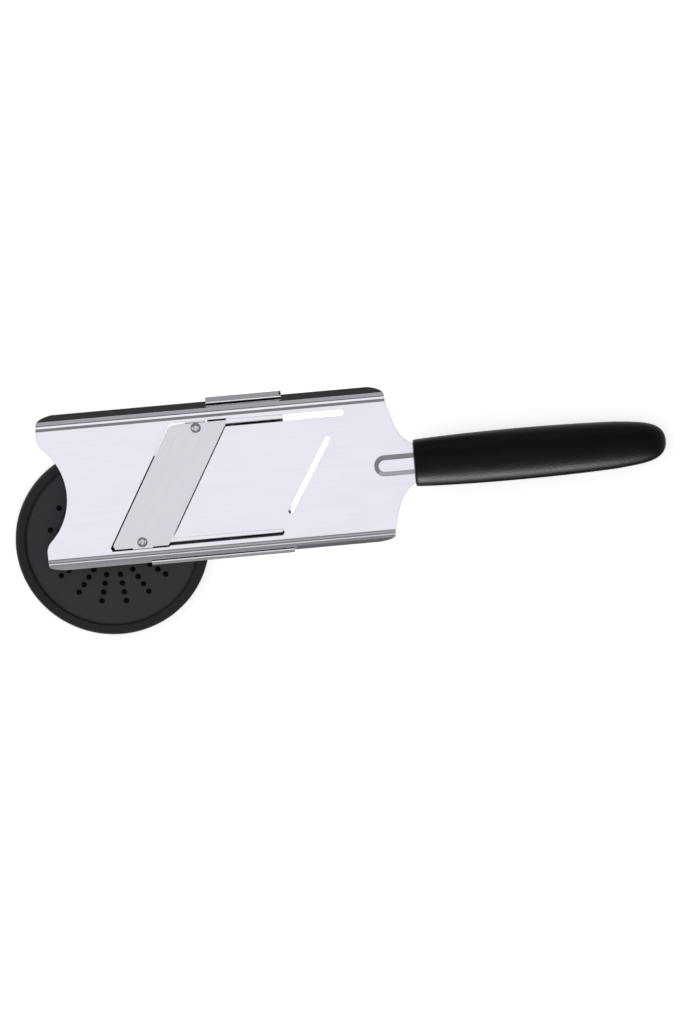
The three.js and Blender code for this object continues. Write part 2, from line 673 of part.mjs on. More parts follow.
function guardPin() {
  const root = dishLevel - DISH_FLOOR / 2;
  const side = new THREE.Path();
  side.moveTo(0, root);
  side.lineTo(PIN_BASE / 2, root);
  side.lineTo(PIN_BASE / 2, dishLevel);
  side.lineTo(PIN_TIP / 2, dishLevel + PIN_HEIGHT);
  side.lineTo(0, dishLevel + PIN_HEIGHT);
  return turned(side, PIN_SIDES);
}

function guardGrip() {
  const inner = GRIP_RADIUS - GRIP_EDGE - GRIP_WALL;
  const side = new THREE.Path();
  side.moveTo(0, 0);
  side.lineTo(GRIP_RADIUS - GRIP_EDGE, 0);
  side.quadraticCurveTo(GRIP_RADIUS, 0, GRIP_RADIUS, GRIP_EDGE);
  side.quadraticCurveTo(GRIP_RADIUS - GRIP_WAIST, (GRIP_EDGE + gripTop) / 2, GRIP_RADIUS, gripTop);
  side.lineTo(inner, gripTop);
  side.lineTo(inner, GRIP_WALL);
  side.lineTo(0, GRIP_WALL);
  return turned(side, LATHE_STEPS);
}

// Meshes

const polishedSteel = new THREE.MeshStandardMaterial({ color: 0xe4e2ec, roughness: 0.12, metalness: 1 });
const brushedSteel = new THREE.MeshStandardMaterial({ color: 0xd0cfd8, roughness: 0.35, metalness: 1 });
const screwSteel = new THREE.MeshStandardMaterial({ color: 0xb9b9c0, roughness: 0.3, metalness: 1 });
const handlePlastic = new THREE.MeshStandardMaterial({ color: 0x17171a, roughness: 0.45, metalness: 0 });
const guardPlastic = new THREE.MeshStandardMaterial({ color: 0x36363a, roughness: 0.55, metalness: 0 });

function piece(name, solid, material) {
  const mesh = new THREE.Mesh(toGeometry(solid), material);
  mesh.name = name;
  return mesh;
}

const slicer = new THREE.Group();
const handleMesh = piece('handle', handle(), handlePlastic);
const sliderMesh = piece('thickness_slider', thicknessSlider(), brushedSteel);
sliderMesh.position.y = SLIDER_SHIFT;
slicer.add(piece('body_plate', bodyPlate(), polishedSteel));
slicer.add(piece('adjusting_tongue', adjustingTongue(), polishedSteel));
slicer.add(piece('slicing_blade', slicingBlade(), brushedSteel));
slicer.add(sliderMesh);
slicer.add(handleMesh);
for (const [place, side] of [['upper', 1], ['lower', -1]]) {
  const screw = piece(`blade_screw_${place}`, bladeScrew(), screwSteel);
  const nut = piece(`blade_nut_${place}`, bladeNut(), screwSteel);
  for (const fastener of [screw, nut]) {
    fastener.position.set(screwX(side * screwY), side * screwY, 0);
    slicer.add(fastener);
  }
}

const guard = new THREE.Group();
guard.add(piece('guard_disc', guardDisc(), guardPlastic));
guard.add(piece('guard_grip', guardGrip(), guardPlastic));

// The slicer lies on the rim of the food holder, with its handle on the floor. It rolls until its far hem
// just clears the floor with the slider at the end of its travel.

function lowestPoint(mesh, up) {
  const position = mesh.geometry.attributes.position;
  const points = Array.from({ length: position.count }, (_, i) =>
    new THREE.Vector3().fromBufferAttribute(position, i));
  return points.reduce((low, p) => (p.dot(up) < low.dot(up) ? p : low));
}

// The upright, in the slicer's frame, that puts three points at three heights
function uprightFor(points, heights) {
  const a = points[1].clone().sub(points[0]);
  const b = points[2].clone().sub(points[0]);
  const normal = a.clone().cross(b);
  const size = normal.lengthSq();
  const lean = b.clone().cross(normal).multiplyScalar((heights[1] - heights[0]) / size);
  lean.addScaledVector(normal.clone().cross(a), (heights[2] - heights[0]) / size);
  const rest = Math.sqrt(1 - lean.lengthSq()) * Math.sign(normal.z);
  return lean.addScaledVector(normal, rest / Math.sqrt(size));
}

const onRim = new THREE.Vector3(GUARD_AT_X + GUARD_RADIUS, SLIDER_SHIFT - hemCentre.x, hemLow);
const farHem = new THREE.Vector3(SLIDER_END + SLIDER_TRAVEL, SLIDER_SHIFT + hemCentre.x, hemLow);
let upright = new THREE.Vector3(0, 0, 1);
let underHandle = lowestPoint(handleMesh, upright);
for (let round = 0; round < SETTLING_ROUNDS; round += 1) {
  upright = uprightFor([underHandle, onRim, farHem], [0, GUARD_HEIGHT + CLEARANCE, CLEARANCE]);
  underHandle = lowestPoint(handleMesh, upright);
}

const east = new THREE.Vector3(1, 0, 0).addScaledVector(upright, -upright.x).normalize();
const north = upright.clone().cross(east);
slicer.quaternion.setFromRotationMatrix(new THREE.Matrix4().makeBasis(east, north, upright).transpose());
slicer.position.z = -upright.dot(underHandle);
slicer.updateMatrix();

const guardSpot = new THREE.Vector3(GUARD_AT_X, GUARD_AT_Y, hemLow).applyMatrix4(slicer.matrix);
guard.position.set(guardSpot.x, guardSpot.y, 0);
guard.rotation.z = rad(GUARD_TURN);

// Origin on the floor, in the middle of the pair's footprint
const pair = new THREE.Group();
pair.add(slicer, guard);
pair.updateMatrixWorld(true);
const extent = new THREE.Box3().setFromObject(pair, true);
const middle = extent.getCenter(new THREE.Vector3());
pair.position.set(-middle.x, -middle.y, -extent.min.z);

export default pair;
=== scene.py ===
import json
import math

import bpy
from mathutils import Matrix, Vector
from mathutils.geometry import interpolate_bezier


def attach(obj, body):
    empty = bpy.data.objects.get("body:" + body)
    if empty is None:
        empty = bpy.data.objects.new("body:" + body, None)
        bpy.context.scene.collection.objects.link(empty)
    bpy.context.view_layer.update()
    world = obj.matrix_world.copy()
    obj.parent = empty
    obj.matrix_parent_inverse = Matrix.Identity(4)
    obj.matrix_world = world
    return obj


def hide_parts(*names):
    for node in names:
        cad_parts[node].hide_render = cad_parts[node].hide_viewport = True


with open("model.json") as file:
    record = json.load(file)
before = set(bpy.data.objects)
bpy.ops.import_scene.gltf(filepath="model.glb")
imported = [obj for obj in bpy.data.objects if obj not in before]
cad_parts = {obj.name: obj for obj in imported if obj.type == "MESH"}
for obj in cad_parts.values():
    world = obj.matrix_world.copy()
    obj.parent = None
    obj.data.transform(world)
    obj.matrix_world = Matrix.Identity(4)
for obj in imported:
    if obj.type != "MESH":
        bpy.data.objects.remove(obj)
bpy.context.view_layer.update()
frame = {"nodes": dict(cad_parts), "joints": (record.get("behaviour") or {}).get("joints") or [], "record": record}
print("frame loaded with", len(frame["nodes"]), "nodes")

mm = 0.001
weld = 1e-6  # metres, points closer than this are one

# The slicer lies tilted, so its pieces are modelled flat and then laid down with this matrix.
# Its x runs from the open end to the handle, y across, and z = 0 is the top of the plate.
joints = {joint["name"]: joint for joint in frame["joints"]}
rootPlace = {"along": 146.1, "below": 0.5}  # where the tongue's hinge line crosses the middle, in mm
alongTool = Vector(joints["slider_travel"]["axis"]).normalized()
plateUp = Vector(joints["tongue_flex"]["axis"]).cross(alongTool).normalized()
acrossTool = plateUp.cross(alongTool)
slicerStart = Vector(joints["tongue_flex"]["pos_m"])
slicerStart += plateUp * rootPlace["below"] * mm - alongTool * rootPlace["along"] * mm
slicerLie = Matrix.Translation(slicerStart) @ Matrix((alongTool, acrossTool, plateUp)).transposed().to_4x4()

# The food holder stands level on its grip
holderTurn = math.radians(-3.95)
mounts = {mount["name"]: mount for mount in frame["record"]["mounts"]}
holderLie = Matrix.Translation(mounts["holder_base"]["pos_m"]) @ Matrix.Rotation(holderTurn, 4, "Z")


# Colours and nodes

def fromHex(code):
    channels = [int(code[i:i + 2], 16) / 255 for i in (0, 2, 4)]
    linear = [c / 12.92 if c <= 0.04045 else ((c + 0.055) / 1.055) ** 2.4 for c in channels]
    return (*linear, 1.0)


def addNode(tree, kind, inputs, **settings):
    node = tree.nodes.new(kind)
    for name, value in settings.items():
        setattr(node, name, value)
    for socket, value in inputs.items():
        if isinstance(value, bpy.types.NodeSocket):
            tree.links.new(value, node.inputs[socket])
        else:
            node.inputs[socket].default_value = value
    return node


def newMaterial(name):
    material = bpy.data.materials.new(name)
    material.use_nodes = True
    material.node_tree.nodes.clear()
    return material


# Steel and plastic. A texture mapping divides by its scale, so each scale is a real size in metres.

noiseSpan = (0.3, 0.7)  # where most of a noise texture's values lie


def spread(tree, noise, low, high):
    return addNode(tree, "ShaderNodeMapRange", {
        "Value": noise.outputs["Fac"], "From Min": noiseSpan[0], "From Max": noiseSpan[1],
        "To Min": low, "To Max": high,
    }).outputs["Result"]


def makeSteel(name, steel, lie):
    material = newMaterial(name)
    tree = material.node_tree
    place = addNode(tree, "ShaderNodeTexCoord", {}).outputs["Object"]
    turned = {"Location": lie.to_translation(), "Rotation": lie.to_euler()}
    lines = addNode(tree, "ShaderNodeMapping", {
        "Vector": place, **turned, "Scale": [size * mm for size in steel["line"]],
    }, vector_type="TEXTURE")
    streak = addNode(tree, "ShaderNodeTexNoise", {
        "Vector": lines.outputs["Vector"], "Scale": 1.0, "Detail": 3.0, "Roughness": 0.65,
    })
    patches = addNode(tree, "ShaderNodeMapping", {
        "Vector": place, **turned, "Scale": [size * mm for size in steel["patch"]],
    }, vector_type="TEXTURE")
    patch = addNode(tree, "ShaderNodeTexNoise", {
        "Vector": patches.outputs["Vector"], "Scale": 1.0, "Detail": 2.0, "Roughness": 0.5,
    })
    colour = addNode(tree, "ShaderNodeMix", {
        0: spread(tree, streak, 0.0, 1.0), 6: fromHex(steel["dark"]), 7: fromHex(steel["light"]),
    }, data_type="RGBA")
    relief = addNode(tree, "ShaderNodeBump", {
        "Height": streak.outputs["Fac"], "Strength": 1.0, "Distance": steel["lineDepth"] * mm,
    })
    shader = addNode(tree, "ShaderNodeBsdfPrincipled", {
        "Base Color": colour.outputs[2], "Metallic": 1.0,
        "Roughness": spread(tree, patch, *steel["roughness"]), "Normal": relief.outputs["Normal"],
    })
    addNode(tree, "ShaderNodeOutputMaterial", {"Surface": shader.outputs["BSDF"]})
    return material


# A second colour inside a circle round the lie's z axis. It is painted sheen: the dish floor inside the rim is
# painted lighter than the rim
def mixPaintedSheenInside(tree, place, tone, colour, inside):
    lie = inside["lie"]
    flat = addNode(tree, "ShaderNodeMapping", {
        "Vector": place, "Location": lie.to_translation(), "Rotation": lie.to_euler(), "Scale": (mm, mm, mm),
    }, vector_type="TEXTURE")
    level = addNode(tree, "ShaderNodeVectorMath", {
        0: flat.outputs["Vector"], 1: (1, 1, 0),
    }, operation="MULTIPLY")
    reach = addNode(tree, "ShaderNodeVectorMath", {0: level.outputs[0]}, operation="LENGTH")
    beyond = addNode(tree, "ShaderNodeMapRange", {
        "Value": reach.outputs["Value"], "From Min": inside["edge"][0], "From Max": inside["edge"][1],
        "To Min": 0.0, "To Max": 1.0,
    })
    paintedSheenTone = addNode(tree, "ShaderNodeMix", {
        0: tone, 6: fromHex(inside["dark"]), 7: fromHex(inside["light"]),
    }, data_type="RGBA")
    return addNode(tree, "ShaderNodeMix", {
        0: beyond.outputs["Result"], 6: paintedSheenTone.outputs[2], 7: colour.outputs[2],
    }, data_type="RGBA")


def makePlastic(name, plastic):
    material = newMaterial(name)
    tree = material.node_tree
    place = addNode(tree, "ShaderNodeTexCoord", {}).outputs["Object"]
    grain = addNode(tree, "ShaderNodeTexNoise", {
        "Vector": place, "Scale": 1 / (plastic["grain"] * mm), "Detail": 2.0, "Roughness": 0.6,
    })
    cloud = addNode(tree, "ShaderNodeTexNoise", {
        "Vector": place, "Scale": 1 / (plastic["cloud"] * mm), "Detail": 2.0, "Roughness": 0.5,
    })
    tone = spread(tree, grain, 0.0, 1.0)
    colour = addNode(tree, "ShaderNodeMix", {
        0: tone, 6: fromHex(plastic["dark"]), 7: fromHex(plastic["light"]),
    }, data_type="RGBA")
    if "inside" in plastic:
        colour = mixPaintedSheenInside(tree, place, tone, colour, plastic["inside"])
    relief = addNode(tree, "ShaderNodeBump", {
        "Height": grain.outputs["Fac"], "Strength": 1.0, "Distance": plastic["grainDepth"] * mm,
    })
    shader = addNode(tree, "ShaderNodeBsdfPrincipled", {
        "Base Color": colour.outputs[2], "Roughness": spread(tree, cloud, *plastic["roughness"]),
        "IOR": plastic["ior"], "Specular IOR Level": plastic["specular"],
        "Normal": relief.outputs["Normal"],
    })
    addNode(tree, "ShaderNodeOutputMaterial", {"Surface": shader.outputs["BSDF"]})
    return material


# Stainless sheet, mirror polished: a cool white mirror with hair lines that only just show
polishedSteel = makeSteel("polished_stainless_sheet", {
    "light": "e6e4ee", "dark": "e2e0ea", "line": (60, 0.7, 0.7), "lineDepth": 0.0003,
    "patch": (30, 14, 14), "roughness": (0.07, 0.11),
}, slicerLie)

# Hardened blade steel, brushed along the blade: a greyer satin that blurs what it reflects
bladePlan = {"at": 53.4, "width": 27.1, "lean": math.radians(30)}
bladeSlant = math.pi / 2 - bladePlan["lean"]
bladeSteel = makeSteel("brushed_blade_steel", {
    "light": "d7d6de", "dark": "cfced6", "line": (24, 0.5, 0.5), "lineDepth": 0.001,
    "patch": (40, 20, 20), "roughness": (0.1, 0.12),
}, slicerLie @ Matrix.Rotation(bladeSlant, 4, "Z"))

# Thin stainless sheet, satin ground along the tool: visible fine lines on the two ears
sliderSteel = makeSteel("satin_stainless_sheet", {
    "light": "f0eff5", "dark": "d4d3da", "line": (40, 0.45, 0.45), "lineDepth": 0.002,
    "patch": (30, 6, 6), "roughness": (0.08, 0.12),
}, slicerLie)

# Turned stainless screws and nuts: small parts, a little duller than the sheet
fastenerSteel = makeSteel("turned_stainless", {
    "light": "d4d3d9", "dark": "c4c3c9", "line": (0.5, 0.5, 0.5), "lineDepth": 0.0008,
    "patch": (2, 2, 2), "roughness": (0.1, 0.16),
}, slicerLie)

# Polypropylene handle, moulded in a fine spark-eroded texture: black, with a soft grainy sheen
handlePlastic = makePlastic("moulded_polypropylene", {
    "light": "070708", "dark": "030304", "grain": 1.0, "grainDepth": 0.14, "cloud": 30,
    "roughness": (0.38, 0.44), "ior": 1.49, "specular": 0.14,
})

# ABS food holder, moulded with a matt face: charcoal. Inside the rim the dish floor is painted lighter, a painted
# sheen that makes the rim read darker than the floor
holderPlastic = makePlastic("moulded_matt_abs", {
    "light": "303034", "dark": "28282b", "grain": 0.8, "grainDepth": 0.04, "cloud": 40,
    "roughness": (0.5, 0.58), "ior": 1.53, "specular": 0.35,
    # inside: painted sheen, the dish floor within this circle painted lighter than the rim
    "inside": {"lie": holderLie, "edge": (46.9, 47.3), "light": "49494f", "dark": "414146"},
})

# Nylon holding pins: quite dull, and painted black, darker than the dish plastic. The black is painted shade, so
# that each one reads as a dark dot
pinShadePlastic = makePlastic("dull_nylon_painted_shade", {
    "light": "161618", "dark": "101012", "grain": 0.8, "grainDepth": 0.02, "cloud": 40,
    "roughness": (0.7, 0.78), "ior": 1.53, "specular": 0.05,
})
print("materials made")


# Modelling helpers

def makeActive(piece):
    bpy.ops.object.select_all(action="DESELECT")
    piece.select_set(True)
    bpy.context.view_layer.objects.active = piece


def applyAll(piece):
    makeActive(piece)
    for modifier in list(piece.modifiers):
        bpy.ops.object.modifier_apply(modifier=modifier.name)


def layDown(piece, lie):
    makeActive(piece)
    piece.matrix_world = lie
    bpy.ops.object.transform_apply(location=True, rotation=True, scale=True)


def finishPiece(piece, body, nodes, material, smoothAngle=30):
    makeActive(piece)
    bpy.ops.object.shade_smooth_by_angle(angle=math.radians(smoothAngle))
    weighted = piece.modifiers.new("weighted", "WEIGHTED_NORMAL")
    weighted.keep_sharp = True
    applyAll(piece)
    piece.data.materials.clear()
    piece.data.materials.append(material)
    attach(piece, body)
    if nodes:
        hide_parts(*nodes)


# A corner list (across, up, corner radius) in mm becomes a line with rounded corners
def roundCorners(corners, steps=5):
    points = []
    for i, (across, up, curve) in enumerate(corners):
        here = Vector((across, up, 0))
        if curve == 0:
            points.append(here)
            continue
        back = (Vector((*corners[i - 1][:2], 0)) - here).normalized()
        ahead = (Vector((*corners[i + 1][:2], 0)) - here).normalized()
        half = back.angle(ahead) / 2
        centre = here + (back + ahead).normalized() * curve / math.sin(half)
        first = (here + back * curve / math.tan(half) - centre).normalized()
        last = (here + ahead * curve / math.tan(half) - centre).normalized()
        points += [centre + first.slerp(last, step / steps) * curve for step in range(steps + 1)]
    return [(point.x, point.y) for point in points]


# A line in mm, from the axis round to the axis, is turned about z
def turnOnLathe(name, line, steps):
    bpy.ops.object.select_all(action="DESELECT")
    bpy.ops.mesh.primitive_plane_add(size=mm)
    piece = bpy.context.object
    piece.name = name
    bpy.ops.object.mode_set(mode="EDIT")
    bpy.ops.mesh.select_all(action="SELECT")
    bpy.ops.mesh.merge(type="CENTER")
    bpy.ops.transform.translate(value=(line[0][0] * mm, 0, line[0][1] * mm))
    for (across, up), (nextAcross, nextUp) in zip(line, line[1:]):
        step = ((nextAcross - across) * mm, 0, (nextUp - up) * mm)
        bpy.ops.mesh.extrude_region_move(TRANSFORM_OT_translate={"value": step})
    bpy.ops.mesh.select_all(action="SELECT")
    bpy.ops.mesh.spin(steps=steps, angle=2 * math.pi, center=(0, 0, 0), axis=(0, 0, 1))
    bpy.ops.mesh.select_all(action="SELECT")
    bpy.ops.mesh.remove_doubles(threshold=weld)
    bpy.ops.mesh.normals_make_consistent(inside=False)
    bpy.ops.object.mode_set(mode="OBJECT")
    return piece


facingDown = -0.9  # a face whose normal has less z than this looks down


# A block in mm, used to cut another piece; its lower face can be made smaller
def cutterBlock(size, centre, taper=1.0):
    bpy.ops.object.select_all(action="DESELECT")
    bpy.ops.mesh.primitive_cube_add(size=1)
    block = bpy.context.object
    bpy.ops.object.mode_set(mode="EDIT")
    bpy.ops.mesh.select_all(action="SELECT")
    bpy.ops.transform.resize(value=[side * mm for side in size])
    bpy.ops.mesh.select_all(action="DESELECT")
    bpy.ops.object.mode_set(mode="OBJECT")
    for face in block.data.polygons:
        face.select = face.normal.z < facingDown
    bpy.ops.object.mode_set(mode="EDIT")
    bpy.ops.transform.resize(value=(taper, taper, 1))
    bpy.ops.mesh.select_all(action="SELECT")
    bpy.ops.transform.translate(value=[place * mm for place in centre])
    bpy.ops.object.mode_set(mode="OBJECT")
    return block


def cut(piece, cutter, operation="DIFFERENCE"):
    boolean = piece.modifiers.new("cut", "BOOLEAN")
    boolean.operation = operation
    boolean.solver = "EXACT"
    boolean.object = cutter
    applyAll(piece)
    bpy.data.objects.remove(cutter)


# Sheet pieces: the bent and cut sheet itself comes from the model, welded, and gets broken edges.
# A seam along the middle keeps each flat face free of holes.

sheetBevelSteps = 2


def dressSheet(node, name, edge):
    bpy.ops.object.select_all(action="DESELECT")
    piece = bpy.data.objects.new(name, frame["nodes"][node].data.copy())
    bpy.context.scene.collection.objects.link(piece)
    makeActive(piece)
    bpy.ops.object.mode_set(mode="EDIT")
    bpy.ops.mesh.select_all(action="SELECT")
    bpy.ops.mesh.remove_doubles(threshold=edge["weld"] * mm)
    bpy.ops.mesh.customdata_custom_splitnormals_clear()
    bpy.ops.mesh.bisect(plane_co=slicerLie.to_translation(), plane_no=acrossTool)
    bpy.ops.mesh.mark_seam()
    bpy.ops.mesh.select_all(action="SELECT")
    bpy.ops.mesh.dissolve_limited(angle_limit=math.radians(edge["flat"]), delimit={"SEAM"})
    bpy.ops.mesh.select_all(action="DESELECT")
    bpy.ops.mesh.edges_select_sharp(sharpness=math.radians(edge["angle"]))
    bpy.ops.transform.edge_bevelweight(value=1)
    bpy.ops.object.mode_set(mode="OBJECT")
    if "neck" in edge:
        closeNecks(piece, edge["neck"])
    bevel = piece.modifiers.new("edges", "BEVEL")
    bevel.width = edge["width"] * mm
    bevel.segments = sheetBevelSteps
    bevel.limit_method = "WEIGHT"
    bevel.use_clamp_overlap = False
    applyAll(piece)
    return piece


# The sheet runs through between plate and tongue: the fine cut that parts them in the model is closed on the
# hinge line, and its edges stay sharp, so that nothing shows until the tongue bends
neck = {"slope": 0.6083, "reach": 0.3, "inside": 30, "seam": 0.004}


def closeNecks(piece, side):
    flat = slicerLie.inverted()
    weights = piece.data.attributes["bevel_weight_edge"].data
    moved = set()
    for vertex in piece.data.vertices:
        along, across, up = flat @ vertex.co / mm
        hinge = rootPlace["along"] + neck["slope"] * across
        if abs(along - hinge) < neck["reach"] and abs(across) < neck["inside"]:
            vertex.co = slicerLie @ (Vector((hinge + side * neck["seam"], across, up)) * mm)
            moved.add(vertex.index)
    for edge in piece.data.edges:
        if all(index in moved for index in edge.vertices):
            weights[edge.index].value = 0


plateEdge = {"width": 0.15, "angle": 18, "flat": 0.3, "weld": 0.12, "neck": 1}
plate = dressSheet("body_plate", "plate_sheet", plateEdge)
finishPiece(plate, "slicer", ["body_plate"], polishedSteel, 18)

tongueEdge = {"width": 0.15, "angle": 40, "flat": 0.3, "weld": 0.001, "neck": -1}
tongue = dressSheet("adjusting_tongue", "tongue_sheet", tongueEdge)
finishPiece(tongue, "tongue", ["adjusting_tongue"], polishedSteel)

bladeEdge = {"width": 0.05, "angle": 40, "flat": 0.3, "weld": 0.001}
blade = dressSheet("slicing_blade", "blade_sheet", bladeEdge)
finishPiece(blade, "slicer", ["slicing_blade"], bladeSteel)

sliderEdge = {"width": 0.15, "angle": 50, "flat": 0.3, "weld": 0.001}
slider = dressSheet("thickness_slider", "slider_sheet", sliderEdge)
finishPiece(slider, "slider", ["thickness_slider"], sliderSteel)
print("sheet pieces dressed")


# Handle: turned, flattened, made a little squarer, and slotted for the tang

grip = {
    "front": 202.5, "length": 137.2, "frontHalf": 12.8, "edge": 1.4, "belly": 1.65, "ease": 32,
    "thickness": 19.6, "tail": 27, "tailEase": 15, "tailFall": 1.5, "tailBlunt": 11,
    "squareness": 2.4, "middle": -0.5, "steps": 96, "sideSteps": 33, "tailSteps": 25,
    "edgeCurve": ((0, 1), (0.12, 0.45), (0.45, 0.12)),
    "slot": (26, 22.2, 1.6), "groove": (26, 9, 3.4), "cutPast": 1,
}


def handleLine():
    front, length = grip["frontHalf"], grip["length"]
    straight = length - grip["tail"]
    belly = front + grip["belly"]
    sideKnots = [
        (grip["edge"], front), (grip["ease"], belly), (straight - grip["ease"], belly), (straight, front),
    ]
    tailKnots = [
        (straight, front), (straight + grip["tailEase"], front - grip["tailFall"]),
        (length, grip["tailBlunt"]), (length, 0),
    ]
    side = interpolate_bezier(*[Vector((*knot, 0)) for knot in sideKnots], grip["sideSteps"])
    tail = interpolate_bezier(*[Vector((*knot, 0)) for knot in tailKnots], grip["tailSteps"])
    edge = [(grip["edge"] * back, front - grip["edge"] * inward) for back, inward in grip["edgeCurve"]]
    line = [(0, 0)] + edge + [(p.x, p.y) for p in side] + [(p.x, p.y) for p in tail[1:]]
    return [(across, along) for along, across in line]


line = handleLine()
handle = turnOnLathe("handle_moulding", line, grip["steps"])
widest = max(across for across, along in line)
flatten = grip["thickness"] / 2 / widest
power = grip["squareness"]
for vertex in handle.data.vertices:
    across = math.hypot(vertex.co.x, vertex.co.y)
    if across > weld:
        ratio = (abs(vertex.co.x / across) ** power + abs(vertex.co.y / across) ** power) ** (-1 / power)
        vertex.co.x *= ratio
        vertex.co.y *= ratio * flatten
turnForward = Matrix(((0, 0, 1, 0), (1, 0, 0, 0), (0, 1, 0, 0), (0, 0, 0, 1)))
handlePlace = Matrix.Translation((grip["front"] * mm, 0, grip["middle"] * mm))
layDown(handle, handlePlace @ turnForward)
slotCentre = (grip["front"] + grip["slot"][0] / 2 - grip["cutPast"], 0, grip["middle"])
cut(handle, cutterBlock(grip["slot"], slotCentre))
grooveCentre = (grip["front"] + grip["groove"][0] / 2 - grip["cutPast"], 0, 0)
cut(handle, cutterBlock(grip["groove"], grooveCentre))
layDown(handle, slicerLie)
finishPiece(handle, "slicer", ["handle"], handlePlastic)
print("handle made")


# Blade screws with a cross recess, and their nuts

screw = {
    "y": 29.9, "head": 2.7, "headRound": 0.05, "shank": 1.4, "neckRound": 0.1, "root": 1.2, "pitch": 0.5,
    "end": -5.6, "steps": 48, "recess": (3.2, 0.8, 1.6), "recessTaper": 0.65,
}
nut = {
    "flats": 5.5, "top": -2.6, "height": 2.4, "bore": 1.7, "lead": 0.3, "ease": 0.1, "chamfer": 0.58,
    "drillPast": 1,
}


def screwLine():
    head, shank = screw["head"], screw["shank"]
    corners = [(0, 0, 0), (head, 0, screw["headRound"]), (shank, shank - head, screw["neckRound"])]
    line = roundCorners(corners + [(shank, screw["end"], 0)], 3)[:-1]
    up = shank - head - screw["pitch"]
    while up > screw["end"] + screw["pitch"]:
        line += [(shank, up), (screw["root"], up - screw["pitch"] / 2)]
        up -= screw["pitch"]
    return line + [(shank, up), (screw["root"], screw["end"]), (0, screw["end"])]


def makeScrew(name):
    piece = turnOnLathe(name, screwLine(), screw["steps"])
    cut(piece, cutterBlock(screw["recess"], (0, 0, 0), screw["recessTaper"]))
    length, width, depth = screw["recess"]
    cut(piece, cutterBlock((width, length, depth), (0, 0, 0), screw["recessTaper"]))
    return piece


def makeNut(name):
    corner = nut["flats"] / math.sqrt(3)
    low, high = nut["top"] - nut["height"], nut["top"]
    bpy.ops.object.select_all(action="DESELECT")
    bpy.ops.mesh.primitive_cylinder_add(vertices=6, radius=corner * mm, depth=nut["height"] * mm,
                                        location=(0, 0, (low + high) / 2 * mm))
    piece = bpy.context.object
    piece.name = name
    bpy.ops.object.transform_apply(location=True, rotation=True, scale=True)
    flat = nut["flats"] / 2 - nut["ease"]
    chamfer = (corner - flat) * nut["chamfer"]
    barrel = turnOnLathe("barrel", [
        (0, low), (flat, low), (corner, low + chamfer), (corner, high - chamfer), (flat, high), (0, high),
    ], screw["steps"])
    cut(piece, barrel, "INTERSECT")
    bore, lead, past = nut["bore"], nut["lead"], nut["drillPast"]
    drill = turnOnLathe("drill", [
        (0, low - past), (bore + lead + past, low - past), (bore, low + lead), (bore, high - lead),
        (bore + lead + past, high + past), (0, high + past),
    ], screw["steps"])
    cut(piece, drill)
    return piece


screwMiddle = bladePlan["at"] + bladePlan["width"] / math.cos(bladePlan["lean"]) / 2
for place, side in (("upper", 1), ("lower", -1)):
    across = side * screw["y"]
    along = screwMiddle + math.tan(bladePlan["lean"]) * across
    spot = slicerLie @ Matrix.Translation((along * mm, across * mm, 0))
    for kind, shape, maker in (("screw", "cross", makeScrew), ("nut", "hex", makeNut)):
        fastener = maker(f"{shape}_{kind}_{place}")
        layDown(fastener, spot)
        finishPiece(fastener, "slicer", [f"blade_{kind}_{place}"], fastenerSteel)
print("fasteners made")


# Food holder: dish with a raised rim, pins, and the grip under it

dish = {
    "radius": 53, "top": 10, "floor": 8.3, "back": 4.5, "rim": 47.4, "crease": 46.5, "creaseDepth": 7.8,
    "spigot": (28.1, 30.1, 3.1), "steps": 160, "spigotRoot": 0.4, "spigotRound": 0.3, "backRound": 2.6,
    "topRound": 2.4, "rimRound": 1.2, "creaseFoot": 0.3, "creaseRound": 0.2,
}
pins = {
    "spokes": 16, "rings": 4, "first": 19.2, "step": 5.05, "steps": 14,
    "base": 1.2, "tip": 0.9, "height": 1.5, "tipRound": 0.3, "flareOut": 0.4, "flareUp": 0.25, "root": 1,
}
cap = {
    "radius": 33, "top": 4.2, "waist": 1.1, "wall": 1.6, "inner": 30.4, "steps": 128,
    "baseRound": 0.5, "waistRound": 1, "lipRound": 0.4, "innerRound": 0.3,
}

inner, outer, foot = dish["spigot"]
dishLine = roundCorners([
    (0, dish["back"], 0), (inner, dish["back"], dish["spigotRoot"]), (inner, foot, dish["spigotRound"]),
    (outer, foot, dish["spigotRound"]), (outer, dish["back"], dish["spigotRoot"]),
    (dish["radius"], dish["back"], dish["backRound"]), (dish["radius"], dish["top"], dish["topRound"]),
    (dish["rim"], dish["top"], dish["rimRound"]), (dish["rim"], dish["creaseDepth"], dish["creaseFoot"]),
    (dish["crease"], dish["creaseDepth"], dish["creaseRound"]),
    (dish["crease"], dish["floor"], dish["creaseRound"]), (0, dish["floor"], 0),
])
holderDish = turnOnLathe("holder_dish", dishLine, dish["steps"])

flare = pins["base"] + pins["flareOut"]
pinRoot, pinTop = dish["floor"] - pins["root"], dish["floor"] + pins["height"]
pinLine = roundCorners([
    (0, pinRoot, 0), (flare, pinRoot, 0), (flare, dish["floor"], 0),
    (pins["base"], dish["floor"] + pins["flareUp"], 0), (pins["tip"], pinTop, pins["tipRound"]),
    (0, pinTop, 0),
], 3)
pin = turnOnLathe("pin", pinLine, pins["steps"])
pinSet = [pin]
for spoke in range(pins["spokes"]):
    angle = 2 * math.pi * (spoke + 0.5) / pins["spokes"]
    for row in range(pins["rings"]):
        reach = (pins["first"] + row * pins["step"]) * mm
        twin = bpy.data.objects.new("pin", pin.data.copy())
        bpy.context.scene.collection.objects.link(twin)
        twin.data.transform(Matrix.Translation((reach * math.cos(angle), reach * math.sin(angle), 0)))
        pinSet.append(twin)
bpy.data.objects.remove(pinSet.pop(0))
bpy.ops.object.select_all(action="DESELECT")
for twin in pinSet:
    twin.select_set(True)
holderPins = pinSet[0]
bpy.context.view_layer.objects.active = holderPins
bpy.ops.object.join()
holderPins.name = "holder_pins"

